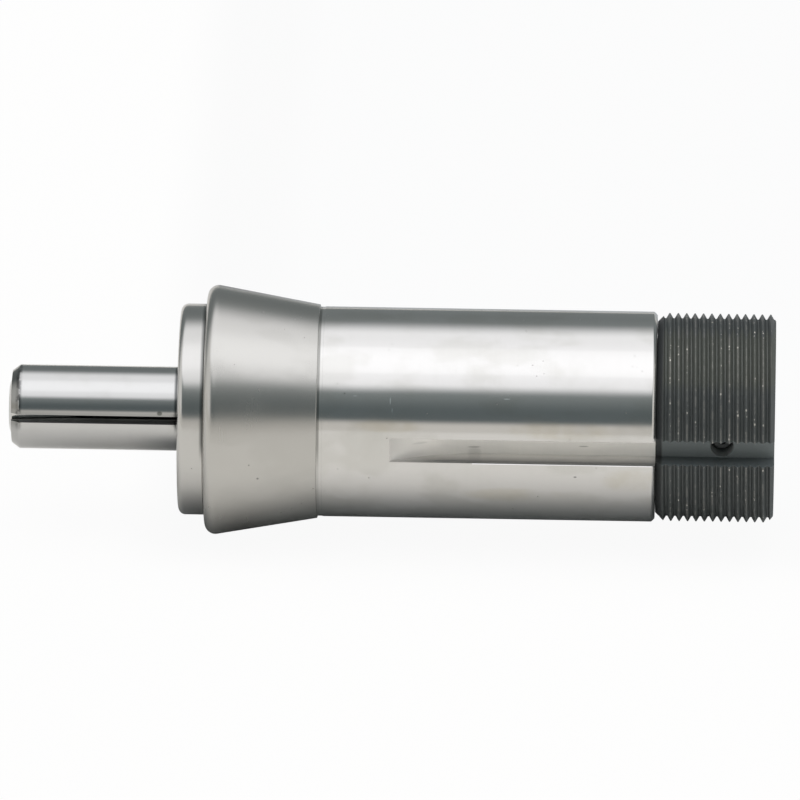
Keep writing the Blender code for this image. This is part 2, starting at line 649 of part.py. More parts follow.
def lock_screw(finish, pad_finish, carrier, sleeve):
    """Set screw and brass pad, in a radial hole from the keyway's floor to the bolt. X of their outlines points out."""
    place = along((0.0, -1.0, 0.0), (LOCK_HOLE_PLACE, 0.0, 0.0))
    radius = LOCK_HOLE_RADIUS - GAP
    top = KEYWAY_FLOOR - LOCK_SCREW_SINK
    pad_top = BOLT_HOLE_RADIUS + LOCK_PAD_LENGTH
    bottom = pad_top + GAP
    screw_outline = plain_pin(bottom, top, radius, LOCK_SCREW_BEVEL)
    screw = piece("lock_screw", turned(screw_outline, SMALL_SEGMENTS), finish, carrier, place)
    socket = hexagon(LOCK_SCREW_HEX, top - LOCK_SCREW_HEX_DEPTH, LOCK_SCREW_HEX_DEPTH + GAP)
    cut(screw, piece("lock_screw_socket", socket, finish, carrier, place))
    pad_outline = plain_pin(BOLT_HOLE_RADIUS, pad_top, radius, LOCK_SCREW_BEVEL)
    piece("lock_pad", turned(pad_outline, SMALL_SEGMENTS), pad_finish, carrier, place)
    hole = turned(plain_pin(BOLT_RADIUS, KEYWAY_FLOOR + GAP, LOCK_HOLE_RADIUS), SMALL_SEGMENTS)
    cut(sleeve, piece("lock_hole", hole, finish, carrier, place))


def main():
    clear_scene()
    ground_steel = material("ground_steel", (0.55, 0.54, 0.52), 1.0, 0.22)
    satin_steel = material("satin_steel", (0.5, 0.5, 0.49), 1.0, 0.34)
    bright_steel = material("bright_steel", (0.6, 0.6, 0.59), 1.0, 0.18)
    black_oxide = material("black_oxide", (0.035, 0.035, 0.038), 0.8, 0.4)
    spring_steel = material("spring_steel", (0.3, 0.29, 0.28), 1.0, 0.3)
    bronze = material("bronze", (0.55, 0.35, 0.16), 1.0, 0.35)
    brass = material("brass", (0.72, 0.53, 0.22), 1.0, 0.3)

    body_frame = frame("body_frame")
    draw_frame = frame("draw_frame")
    draw_frame.parent = body_frame

    body = collet_body(ground_steel, body_frame)
    sleeve = draw_sleeve(black_oxide, draw_frame)
    keyway = keyway_cutter(black_oxide, body_frame)
    cut(body, keyway)
    cut(sleeve, keyway)

    collar = stop_collar(satin_steel, body_frame)
    collar_screws(black_oxide, body_frame, collar, body)
    for index in range(FINGERS):
        arbor_finger(index, bright_steel, body_frame)
    arbor_root(bright_steel, body_frame)
    guide_bush(bronze, body_frame)

    bolt = draw_bolt(bright_steel, draw_frame)
    pinned = spring_collar(spring_steel, draw_frame)
    spring_collar_pin(bright_steel, draw_frame, pinned, bolt)
    return_spring(spring_steel, body_frame)
    spring_seat_washer(bright_steel, body_frame)
    retaining_ring(spring_steel, body_frame)
    guide_pins(bright_steel, body_frame, body, sleeve)
    lock_screw(black_oxide, brass, draw_frame, sleeve)


main()
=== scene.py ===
"""The looks of an expanding collet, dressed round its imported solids.

The tool's axis is X: the slit plug points to -X, the draw thread to +X, and the keyway faces -Y. The shapes
below are written in millimetres and made in metres.
"""

import math

import bmesh
import bpy
from mathutils import Matrix, Quaternion, Vector


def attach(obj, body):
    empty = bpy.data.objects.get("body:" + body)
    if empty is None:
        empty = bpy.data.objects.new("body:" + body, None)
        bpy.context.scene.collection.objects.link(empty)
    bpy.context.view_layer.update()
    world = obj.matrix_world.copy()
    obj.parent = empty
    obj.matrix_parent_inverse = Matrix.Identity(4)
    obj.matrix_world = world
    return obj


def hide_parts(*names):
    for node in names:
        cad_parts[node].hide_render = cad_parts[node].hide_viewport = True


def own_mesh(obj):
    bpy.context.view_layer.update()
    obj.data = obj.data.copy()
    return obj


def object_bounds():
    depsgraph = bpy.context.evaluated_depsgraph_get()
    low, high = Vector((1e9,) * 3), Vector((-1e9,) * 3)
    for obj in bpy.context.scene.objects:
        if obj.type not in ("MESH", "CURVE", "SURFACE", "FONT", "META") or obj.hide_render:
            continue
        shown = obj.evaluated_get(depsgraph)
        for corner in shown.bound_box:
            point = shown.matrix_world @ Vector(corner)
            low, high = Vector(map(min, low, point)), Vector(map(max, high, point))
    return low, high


MM = 0.001

# Sizes of the pieces, in millimetres and degrees. An EDGE is how far a rounding cuts the edge's sides back
GAP = 0.3
OVERSHOOT = 0.5

BODY_RADIUS = 15.875
BODY_REAR = 68.0
BODY_REAR_BEVEL = 0.5
BODY_BEVEL_EDGE = 0.12
BODY_REAR_EDGE = 0.1
HEAD_RADIUS = 18.845
HEAD_CORNER = 1.6
HEAD_CORNER_LAND = 0.3
HEAD_TAPER = 10.0
HEAD_LENGTH = 17.0
HEAD_REAR_EDGE = 0.08
RELIEF_WIDTH = 0.8
RELIEF_DEPTH = 0.06
RELIEF_EDGE = 0.03
CHAMBER_RADIUS = 9.795
CHAMBER_MOUTH_RADIUS = 10.4
CHAMBER_MOUTH_BEVEL = 0.6
RING_GROOVE_RADIUS = 10.695
RING_GROOVE_FRONT = 54.4
RING_GROOVE_REAR = 56.2
WEB_FRONT = 26.0
WEB_REAR = 36.0
BUSH_HOLE = 5.297
BUSH_FLANGE_HOLE = 6.797
BUSH_FLANGE_REAR = 28.2

KEYWAY_HALF = 1.9
KEYWAY_FLOOR = 11.573
KEYWAY_FRONT = 27.8
KEYWAY_CUTTER = 25.0
KEYWAY_CHAMFER = 0.14
KEYWAY_CHAMFER_FRONT = 40.5

COLLAR_RADIUS = 15.95
COLLAR_FRONT = -4.0
COLLAR_ROUND = 1.05
COLLAR_ROUND_LAND = 0.2
COLLAR_REAR = -0.02
COLLAR_REAR_BEVEL = 0.14
COLLAR_REAR_EDGE = 0.05
COLLAR_BORE = 6.7
COLLAR_BORE_EDGE = 0.15
PILOT_RADIUS = 9.2
PILOT_REAR = 2.4
PILOT_EDGE = 0.2

SCREWS = 3
SCREW_CIRCLE = 12.05
SCREW_RADIUS = 1.5
SCREW_LENGTH = 9.0
SCREW_SINK = 0.15
SCREW_HEAD_RADIUS = 2.75
SCREW_HEAD_LAND = 0.25
SCREW_HEAD_EDGE = 0.12
SCREW_HOLE_ABOVE = 0.6
SCREW_HEX = 2.0
SCREW_HEX_DEPTH = 1.1

FINGERS = 3
FIRST_SLIT = 4.1
SLIT_WIDTH = 1.2
SLIT_BEVEL = 0.1
PLUG_RADIUS = 6.35
PLUG_FRONT = -29.4
PLUG_REAR = 14.7
PLUG_FRONT_EDGE = 0.08
PLUG_CHAMFER_LENGTH = 1.2
PLUG_CHAMFER_DEPTH = 0.9
PLUG_CHAMFER_EDGE = 0.1
PLUG_NECK = 5.4
PLUG_NECK_FRONT = 1.5
PLUG_BORE = 3.797
PLUG_MOUTH = 4.8
PLUG_MOUTH_LAND = 0.3
PLUG_MOUTH_CONE = 8.169
ROOT_RADIUS = 8.2

BOLT_FRONT = -29.8
BOLT_REAR = 82.5
BOLT_RADIUS = 2.997
BOLT_REAR_EDGE = 0.5
BOLT_HEAD = 4.498
BOLT_HEAD_LAND = 0.3
BOLT_HEAD_EDGE = 0.08
BOLT_NOSE = 0.4
BOLT_NOSE_TAPER = 1.2
BOLT_NOSE_EDGE = 0.1
BOLT_CONE = 7.0
BOLT_HEX = 4.0
BOLT_HEX_DEPTH = 3.0
DRIVER_SLOT_WIDTH = 1.0
DRIVER_SLOT_DEPTH = 1.0
CROSS_PIN_PLACE = 38.3
CROSS_PIN_HOLE = 1.3

SLEEVE_FRONT = 68.05
SLEEVE_REAR = 85.9
SLEEVE_FRONT_CHAMFER = 1.3
SLEEVE_FRONT_EDGE = 0.1
SLEEVE_REAR_CHAMFER_LENGTH = 0.7
SLEEVE_REAR_CHAMFER_DEPTH = 1.0
SLEEVE_REAR_EDGE = 0.05
SLEEVE_RECESS = 5.5
SLEEVE_RECESS_FRONT = 80.9
SLEEVE_RECESS_BEVEL = 0.5
SLEEVE_RECESS_EDGE = 0.08
SLEEVE_BORE = 3.297
SPIGOT_FRONT = 62.3
SPIGOT_RADIUS = 9.495
SPIGOT_BEVEL = 0.6
THREAD_RADIUS = 15.725
THREAD_PITCH = 1.27
THREAD_DEPTH = 0.78
THREAD_WEAR = 0.02
THREAD_FLANK = 30.0
THREAD_ROD_FRONT = 59.0
THREAD_ROD_REAR = 90.0
GUIDE_PIN_CIRCLE = 12.37
GUIDE_PIN_HOLE = 1.55
GUIDE_PIN_HOLE_FRONT = 60.0
GUIDE_PIN_HOLE_REAR = 76.9

LOCK_PLACE = 78.0
LOCK_HOLE = 1.75
LOCK_SCREW_RADIUS = 1.45
LOCK_SCREW_FOOT = 5.372
LOCK_SCREW_TOP = 9.173
LOCK_SCREW_EDGE = 0.25
LOCK_SCREW_HEX = 1.5
LOCK_SCREW_HEX_DEPTH = 1.6

SPRING_FRONT = 40.6
SPRING_LENGTH = 12.0
SPRING_TURNS = 5
SPRING_COIL = 7.895
SPRING_WIRE = 0.75
SPRING_END_GAP = 0.25

# Marks on the body's near side: place along the axis, height, half length and half height, in millimetres
OLIVE_STAINS = [(28.0, 3.8, 6.0, 1.2), (54.0, 3.4, 10.0, 1.6), (65.0, -4.6, 6.0, 2.6), (47.0, -7.6, 9.0, 1.6)]
DARK_SPOTS = [
    (8.3, -4.4, 0.22, 0.2),
    (56.0, -4.0, 0.3, 0.16),
    (21.2, 8.2, 0.12, 0.12),
    (7.0, -2.0, 0.14, 0.14),
]
BRIGHT_NICKS = [(22.8, 7.9, 0.4, 0.1), (28.1, 7.3, 0.12, 0.6), (28.4, 6.0, 0.12, 0.4), (45.6, 7.8, 0.6, 0.1)]
KEYWAY_SMUDGES = [(40.7, -0.85, 1.2, 0.14), (57.2, -0.5, 0.9, 0.12)]
KEYWAY_SMEARS = [(40.8, -1.7, 1.2, 1.0), (32.6, 0.3, 1.4, 0.2)]
PLUG_SPOT = (-6.9, 1.55, 0.5, 0.4)

# How fine the patterns are, in cells per metre
CLOUDS = 110.0
FINE_LINES = 5200.0
BROAD_LINES = 620.0
PITS = 900.0
PIT_PATCHES = 240.0

# Camera: distance in metres, lens and aim in millimetres, angles in degrees
CAMERA_DISTANCE = 2.2
CAMERA_AZIMUTH = 1.3
CAMERA_ELEVATION = 21.2
CAMERA_ROLL = 0.48
CAMERA_LENS = 654.5
AIM_RIGHT = 1.2
AIM_UP = 1.86


# Shader maths


class Value:
    """A shader socket that is added, multiplied and compared like a number."""

    def __init__(self, tree, socket):
        self.tree = tree
        self.socket = socket

    def maths(self, operation, *parts):
        return self.tree.add("ShaderNodeMath", {"operation": operation}, dict(enumerate(parts)))

    def __add__(self, other):
        return self.maths("ADD", self, other)

    def __sub__(self, other):
        return self.maths("SUBTRACT", self, other)

    def __rsub__(self, other):
        return self.maths("SUBTRACT", other, self)

    def __mul__(self, other):
        return self.maths("MULTIPLY", self, other)

    def __truediv__(self, other):
        return self.maths("DIVIDE", self, other)

    __radd__ = __add__
    __rmul__ = __mul__

    def power(self, exponent):
        return self.maths("POWER", self, exponent)

    def size(self):
        return self.maths("ABSOLUTE", self)

    def most(self, other):
        return self.maths("MAXIMUM", self, other)

    def between(self, low, high):
        """Rises smoothly from 0 at low to 1 at high. It falls where high is the smaller."""
        inputs = {0: self, 1: low, 2: high, 3: 0.0, 4: 1.0}
        return self.tree.add("ShaderNodeMapRange", {"interpolation_type": "SMOOTHSTEP"}, inputs)

    def between_mm(self, low, high):
        """The same for a place in metres, with its two ends in millimetres."""
        return self.between(low * MM, high * MM)


class Tree:
    """A node tree, with one way to add any node to it."""

    def __init__(self, nodes, links):
        self.nodes = nodes
        self.links = links

    def add(self, kind, settings=None, inputs=None, output=0):
        node = self.nodes.new(kind)
        for name, value in (settings or {}).items():
            setattr(node, name, value)
        for name, value in (inputs or {}).items():
            self.feed(node.inputs[name], value)
        return Value(self, node.outputs[output])

    def feed(self, socket, value):
        if isinstance(value, Value):
            self.links.new(value.socket, socket)
        elif isinstance(value, tuple) and len(value) == 3 and socket.type == "RGBA":
            socket.default_value = (*value, 1.0)
        else:
            socket.default_value = value

    def mix(self, first, second, factor):
        """Blends two colours."""
        return self.add("ShaderNodeMix", {"data_type": "RGBA"}, {0: factor, 6: first, 7: second}, output=2)

    def split(self, vector):
        """The three parts of a vector."""
        return [self.add("ShaderNodeSeparateXYZ", None, {0: vector}, output=axis) for axis in range(3)]

    def noise(self, where, scale, detail=2.0, roughness=0.5):
        inputs = {"Vector": where, "Scale": scale, "Detail": detail, "Roughness": roughness}
        return self.add("ShaderNodeTexNoise", None, inputs)

    def streaks(self, along, scale, detail=2.0):
        """Noise that changes along one value only, such as turning lines along the axis."""
        inputs = {"W": along, "Scale": scale, "Detail": detail}
        return self.add("ShaderNodeTexNoise", {"noise_dimensions": "1D"}, inputs)

    def specks(self, where, scale, size):
        """Small round spots, one in each cell of a pattern, with their radius as a share of a cell."""
        inputs = {"Vector": where, "Scale": scale}
        return self.add("ShaderNodeTexVoronoi", None, inputs).between(size, size * 0.4)

    def stretch(self, where, scale):
        return self.add("ShaderNodeVectorMath", {"operation": "MULTIPLY"}, {0: where, 1: scale})


class Finish(Tree):
    """A material, and where it lies on the tool: x along the axis, y and z across it, in metres."""

    def __init__(self, name):
        self.material = bpy.data.materials.new(name)
        self.material.use_nodes = True
        tree = self.material.node_tree
        super().__init__(tree.nodes, tree.links)
        self.shader = tree.nodes["Principled BSDF"]
        self.output = tree.nodes["Material Output"]
        self.place = self.add("ShaderNodeTexCoord", output="Object")
        self.x, self.y, self.z = self.split(self.place)

    def radius(self):
        return (self.y * self.y + self.z * self.z).power(0.5)

    def near_side(self):
        return self.y.between_mm(0.0, -2.0)

    def set(self, **inputs):
        for name, value in inputs.items():
            self.feed(self.shader.inputs[name.replace("_", " ").title()], value)

    def bump(self, height, distance):
        normal = self.add("ShaderNodeBump", None, {"Height": height, "Distance": distance})
        self.feed(self.shader.inputs["Normal"], normal)


# Camera, floor and light


def set_camera(middle):
    """A long lens in front of the tool, rolled a little so that the thread's end hangs lower."""
    azimuth = math.radians(CAMERA_AZIMUTH)
    elevation = math.radians(CAMERA_ELEVATION)
    level = math.cos(elevation)
    back = Vector((math.sin(azimuth) * level, -math.cos(azimuth) * level, math.sin(elevation)))
    roll = Quaternion((0.0, 0.0, 1.0), math.radians(CAMERA_ROLL))
    turn = (-back).to_track_quat("-Z", "Y") @ roll
    aim = middle + turn @ Vector((AIM_RIGHT * MM, AIM_UP * MM, 0.0))
    bpy.ops.object.camera_add(location=aim + back * CAMERA_DISTANCE, rotation=turn.to_euler())
    camera = bpy.context.object
    camera.data.lens = CAMERA_LENS
    bpy.context.scene.camera = camera


def set_floor(height):
    """Pale paper that the camera sees as white, with a painted shadow under the tool that is darkest under
    its head.

    Polished steel and glass see its white glow in front of the tool only.
    """
    pale, grey, painted_shadow_under_head = (0.92, 0.9, 0.865), (0.55, 0.57, 0.58), (0.37, 0.38, 0.385)
    white, warm_white = (1.0, 1.0, 1.0), (1.0, 0.975, 0.925)
    bpy.ops.object.select_all(action="DESELECT")
    bpy.ops.mesh.primitive_plane_add(size=8.0, location=(0.0, 0.0, height))
    floor = bpy.context.object
    floor.name = "floor"
    paper = Finish("pale_paper")
    # Painted shadow: the paper is greyer under the tool, most of all under its head, so that the tool's lower
    # side reflects it darker.
    painted_shadow_under_tool = paper.y.between_mm(-21.0, -5.0) * paper.x.between_mm(-14.0, -2.0)
    shade = paper.mix(painted_shadow_under_head, grey, paper.x.between_mm(5.0, 13.0))
    paper.set(base_color=paper.mix(pale, shade, painted_shadow_under_tool), roughness=0.9)
    camera, glossy, transmission = (
        paper.add("ShaderNodeLightPath", output=f"Is {kind} Ray")
        for kind in ("Camera", "Glossy", "Transmission")
    )
    in_front = paper.y.between_mm(-12.0, -38.0)
    glow = paper.mix(warm_white, white, camera)
    inputs = {
        0: camera * 0.94 + (glossy + transmission) * in_front * 0.7,
        1: Value(paper, paper.shader.outputs[0]),
        2: paper.add("ShaderNodeEmission", None, {"Color": glow, "Strength": 1.0}),
    }
    paper.feed(paper.output.inputs["Surface"], paper.add("ShaderNodeMixShader", None, inputs))
    floor.data.materials.append(paper.material)


def set_light():
    """A room of grey walls, with a bright ceiling and a pale floor, and one soft lamp overhead.

    The two end walls are pale, and the far wall has its own heights for skirting and ceiling.
    """
    low_wall, high_wall, far_wall, end_wall = (
        (0.135, 0.16, 0.165),
        (0.28, 0.31, 0.31),
        (0.26, 0.28, 0.28),
        (0.95, 0.945, 0.93),
    )
    pale_floor, ceiling_edge, ceiling_middle = (0.78, 0.755, 0.71), (1.27, 1.27, 1.29), (1.47, 1.47, 1.5)
    world = bpy.data.worlds.new("studio")
    bpy.context.scene.world = world
    world.use_nodes = True
    room = Tree(world.node_tree.nodes, world.node_tree.links)
    sideways, behind, up = room.split(room.add("ShaderNodeTexCoord", output="Generated"))
    height = up.maths("ARCSINE", up)
    far = behind.between(-0.1, 0.1)

    def rise(low, high):
        """Rises from 0 to 1 between two heights, in degrees above the level."""
        return height.between(math.radians(low), math.radians(high))

    wall = room.mix(low_wall, high_wall, rise(22.0, 46.0))
    wall = room.mix(wall, far_wall, far * 0.7)
    wall = room.mix(wall, end_wall, sideways.size().between(0.42, 0.7) * behind.between(0.6, 0.1))
    near_skirting, near_ceiling = rise(7.5, 14.0), rise(41.0, 53.0)
    above_skirting = near_skirting + far * (rise(0.5, 4.0) - near_skirting)
    above_wall = near_ceiling + far * (rise(38.0, 64.0) - near_ceiling)
    overhead = behind.between(-0.7, -0.25) * behind.between(0.4, -0.15)
    colour = room.mix(pale_floor, wall, above_skirting)
    colour = room.mix(colour, room.mix(ceiling_edge, ceiling_middle, overhead), above_wall)
    room.feed(world.node_tree.nodes["Background"].inputs["Color"], colour)
    bpy.ops.object.light_add(type="AREA", location=(0.03, -0.18, 1.0))
    lamp = bpy.context.object
    lamp.name = "overhead_softbox"
    lamp.data.shape = "RECTANGLE"
    lamp.data.size = 1.6
    lamp.data.size_y = 0.6
    lamp.data.energy = 0.35
    lamp.visible_camera = False
    bpy.context.scene.view_settings.view_transform = "Standard"


# Shaping


def arc(centre, radius, start, end, steps):
    """Points of an arc in a side view. Angles are in degrees from +X towards the outside."""
    angles = [math.radians(start + (end - start) * i / steps) for i in range(steps + 1)]
    return [(centre[0] + radius * math.cos(a), centre[1] + radius * math.sin(a)) for a in angles]


def eased(corners, steps=3):
    """Rounds each corner that gives a third number, the length by which its edges are cut back.

    A further point on each side keeps the rounding's shading off the flat face next to it.
    """
    points = []
    for index, corner in enumerate(corners):
        if len(corner) == 2:
            points.append(corner)
            continue
        here = Vector(corner[:2])
        before = Vector(corners[index - 1][:2]) - here
        after = Vector(corners[(index + 1) % len(corners)][:2]) - here
        start = here + before.normalized() * corner[2]
        end = here + after.normalized() * corner[2]
        land = 2.5 * corner[2]
        points.append(tuple(here + before.normalized() * min(land, before.length / 2)))
        for step in range(steps + 1):
            part = step / steps
            points.append(tuple(start.lerp(here, part).lerp(here.lerp(end, part), part)))
        points.append(tuple(here + after.normalized() * min(land, after.length / 2)))
    return points


def draw(name, points):
    """A chain of edges through points in millimetres, extruded corner by corner from one vertex."""
    corners = [Vector(point) * MM for point in points]
    bpy.ops.object.select_all(action="DESELECT")
    bpy.ops.mesh.primitive_plane_add(size=MM, location=corners[0])
    piece = bpy.context.object
    piece.name = name
    piece.data.name = name
    bpy.ops.object.transform_apply(location=True, rotation=True, scale=True)
    bpy.ops.object.mode_set(mode="EDIT")
    bpy.ops.mesh.select_mode(type="VERT")
    bpy.ops.mesh.select_all(action="SELECT")
    bpy.ops.mesh.merge(type="CENTER")
    for here, there in zip(corners, corners[1:]):
        bpy.ops.mesh.extrude_region_move(TRANSFORM_OT_translate={"value": there - here})
    bpy.ops.mesh.select_all(action="SELECT")
    return piece


def join_doubles():
    bpy.ops.mesh.select_all(action="SELECT")
    bpy.ops.mesh.remove_doubles(threshold=1e-7)


def close_up():
    """Ends the work on a closed shape: its seams are joined and its faces point outwards."""
    join_doubles()
    bpy.ops.mesh.normals_make_consistent(inside=False)
    bpy.ops.object.mode_set(mode="OBJECT")


def turned(name, outline, steps):
    """Spins a side view of (x, r) points round the tool's axis.

    An outline that starts off the axis is a ring's, and is closed first.
    """
    if outline[0][1] > 0.0:
        outline = [*outline, outline[0]]
    piece = draw(name, [(x, 0.0, r) for x, r in outline])
    bpy.ops.mesh.spin(steps=steps, angle=math.tau, center=(0.0, 0.0, 0.0), axis=(1.0, 0.0, 0.0))
    close_up()
    return piece


def slab(name, corners, depth):
    """A flat outline of 3-D points, filled and pulled out along a vector."""
    piece = draw(name, [*corners, corners[0]])
    bpy.ops.mesh.remove_doubles(threshold=1e-7)
    bpy.ops.mesh.edge_face_add()
    bpy.ops.mesh.extrude_region_move(TRANSFORM_OT_translate={"value": Vector(depth) * MM})
    close_up()
    return piece


def pick(piece):
    """Makes one piece the only one that is selected."""
    bpy.ops.object.select_all(action="DESELECT")
    piece.select_set(True)
    bpy.context.view_layer.objects.active = piece


def placed(piece, place):
    """Moves a piece and keeps the move in its mesh."""
    piece.matrix_world = place
    pick(piece)
    bpy.ops.object.transform_apply(location=True, rotation=True, scale=True)
    return piece


def along_axis(x):
    return Matrix.Translation((x * MM, 0.0, 0.0))


def round_axis(angle, distance=0.0, x=0.0):
    """A place on a circle round the tool's axis, by its turn in degrees from straight up."""
    turn = Matrix.Rotation(math.radians(angle), 4, "X")
    return along_axis(x) @ turn @ Matrix.Translation((0.0, 0.0, distance * MM))


def lock_place():
    """Turns what is made along the tool's axis to point out of the keyway, where the lock screw is."""
    return along_axis(LOCK_PLACE) @ Matrix.Rotation(-math.pi / 2, 4, "Z")


def cut(piece, tool, operation="DIFFERENCE"):
    """Cuts a piece with a tool, which is then gone."""
    boolean = piece.modifiers.new(tool.name, "BOOLEAN")
    boolean.object = tool
    boolean.operation = operation
    boolean.solver = "EXACT"
    bpy.context.view_layer.objects.active = piece
    bpy.ops.object.modifier_apply(modifier=boolean.name)
    bpy.data.objects.remove(tool, do_unlink=True)


def select_edges(piece, test):
    """Selects the edges that pass a test, in edit mode."""
    bpy.ops.mesh.select_mode(type="EDGE")
    bpy.ops.mesh.select_all(action="DESELECT")
    for edge in bmesh.from_edit_mesh(piece.data).edges:
        if test(edge):
            edge.select = True
    bmesh.update_edit_mesh(piece.data)


def bevel_where(piece, test, width):
    """Bevels the sharp edges whose two ends both pass a test, which is given a place in millimetres."""
    sharp = math.radians(20.0)
    pick(piece)
    bpy.ops.object.mode_set(mode="EDIT")
    select_edges(
        piece, lambda edge: edge.calc_face_angle(0.0) > sharp and all(test(*(v.co / MM)) for v in edge.verts)
    )
    bpy.ops.mesh.bevel(offset=width * MM, segments=2, affect="EDGES", clamp_overlap=False)
    bpy.ops.object.mode_set(mode="OBJECT")


def hex_tool(across, front, rear):
    """A hexagonal prism along X, to cut a key's socket."""
    bpy.ops.object.select_all(action="DESELECT")
    bpy.ops.mesh.primitive_cylinder_add(
        vertices=6,
        radius=across / math.sqrt(3.0) * MM,
        depth=(rear - front) * MM,
        location=((front + rear) / 2 * MM, 0.0, 0.0),
        rotation=(0.0, math.pi / 2, 0.0),
    )
    bpy.ops.object.transform_apply(location=True, rotation=True, scale=True)
    return bpy.context.object


def pin_tool(name, front, rear, radius, place):
    """A round rod along X, moved to its place, to cut a hole."""
    tool = turned(name, [(front, 0.0), (front, radius), (rear, radius), (rear, 0.0)], steps=32)
    return placed(tool, place)


def threaded(name, front, rear, steps):
    """A rod with the draw thread, right hand, from front to rear, closed with a cone at each end."""
    root = THREAD_RADIUS - THREAD_DEPTH
    worn = THREAD_RADIUS - THREAD_WEAR * 2
    flank = THREAD_DEPTH * math.tan(math.radians(THREAD_FLANK))
    crest = THREAD_PITCH / 8
    turns = math.ceil((rear - front) / THREAD_PITCH)
    tooth = [
        (0.0, root),
        (THREAD_PITCH - crest - 2 * flank, root),
        (THREAD_PITCH - crest - flank - THREAD_WEAR, worn),
        (THREAD_PITCH - crest - flank + THREAD_WEAR, THREAD_RADIUS),
        (THREAD_PITCH - flank - THREAD_WEAR, THREAD_RADIUS),
        (THREAD_PITCH - flank + THREAD_WEAR, worn),
        (THREAD_PITCH, root),
    ]
    rod = draw(name, [(front + x, 0.0, r) for x, r in tooth])
    bpy.ops.object.mode_set(mode="OBJECT")
    screw = rod.modifiers.new("helix", "SCREW")
    screw.axis = "X"
    screw.angle = math.tau
    screw.screw_offset = THREAD_PITCH * MM
    screw.iterations = turns
    screw.steps = screw.render_steps = steps
    bpy.ops.object.modifier_apply(modifier=screw.name)
    bpy.ops.object.mode_set(mode="EDIT")
    join_doubles()
    middle = (front + rear) / 2 * MM
    for side in (-1.0, 1.0):
        select_edges(
            rod, lambda edge: edge.is_boundary and all((v.co.x - middle) * side > 0.0 for v in edge.verts)
        )
        bpy.ops.mesh.extrude_region_move()
        bpy.ops.mesh.merge(type="CENTER")
    close_up()
    return rod


def dress(piece, finish, body, slot, *nodes, angle=28.0):
    """Gives a finished piece its shading and finish.

    It also hangs the piece on the body it rides on and hides the solids it stands for.
    """
    pick(piece)
    bpy.ops.object.shade_smooth_by_angle(angle=math.radians(angle))
    piece.data.materials.clear()
    piece.data.materials.append(finish)
    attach(piece, body)
    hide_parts(*nodes)


# Tools for the cuts that several pieces share


def keyway_tool():
    """The keyway at its full width: the disc cutter's run-in, then the floor to behind the sleeve."""
    out = KEYWAY_FLOOR + KEYWAY_CUTTER
    entry = math.acos((out - BODY_RADIUS) / KEYWAY_CUTTER)
    centre = KEYWAY_FRONT + KEYWAY_CUTTER * math.sin(entry)
    beyond = SLEEVE_REAR + OVERSHOOT
    run_in = arc((centre, out), KEYWAY_CUTTER, 270.0 - math.degrees(entry), 270.0, steps=28)
    side = [(KEYWAY_FRONT, out), *run_in, (beyond, KEYWAY_FLOOR), (beyond, out)]
    return slab("keyway_tool", [(x, -r, -KEYWAY_HALF) for x, r in side], (0.0, 0.0, 2 * KEYWAY_HALF))


def chamfer_tool():
    """Breaks the keyway's lower edge behind the run-in, at 45 degrees. Its upper edge is left sharp."""
    beyond = 1.0
    edge = math.sqrt(BODY_RADIUS**2 - KEYWAY_HALF**2)
    deep = edge - KEYWAY_CHAMFER
    out = edge + beyond
    wide = KEYWAY_HALF + out - deep
    ring = [(-deep, -KEYWAY_HALF), (-deep, 0.0), (-out, 0.0), (-out, -wide)]
    length = BODY_REAR + beyond - KEYWAY_CHAMFER_FRONT
    return slab("chamfer_tool", [(KEYWAY_CHAMFER_FRONT, y, z) for y, z in ring], (length, 0.0, 0.0))


def guide_pin_holes(piece):
    for turn in (0.0, 180.0):
        place = round_axis(turn, GUIDE_PIN_CIRCLE)
        cut(piece, pin_tool("pin_hole", GUIDE_PIN_HOLE_FRONT, GUIDE_PIN_HOLE_REAR, GUIDE_PIN_HOLE, place))


def finger_turn(number):
    """The turn from straight up of the finger with this number, from 0. The fingers lie between the slits."""
    return 90.0 - FIRST_SLIT + 60.0 + 120.0 * number


def screw_places():
    """Where the collar screws' heads are, each in line with a finger."""
    head = COLLAR_FRONT + SCREW_SINK
    return [round_axis(finger_turn(number), SCREW_CIRCLE, head) for number in range(SCREWS)]


def countersink(grow, above):
    """Side view of a collar screw with its head at x = 0, or of its hole where it is grown."""
    head = SCREW_HEAD_RADIUS + grow
    shank = SCREW_RADIUS + grow
    return [
        (-above, 0.0),
        (-above, head),
        (SCREW_HEAD_LAND, head),
        (SCREW_HEAD_LAND + head - shank, shank),
        (SCREW_LENGTH + grow, shank),
        (SCREW_LENGTH + grow, 0.0),
    ]


def screw_holes(piece, steps):
    for place in screw_places():
        cut(piece, placed(turned("screw_hole", countersink(GAP, SCREW_HOLE_ABOVE), steps), place))


# Pieces


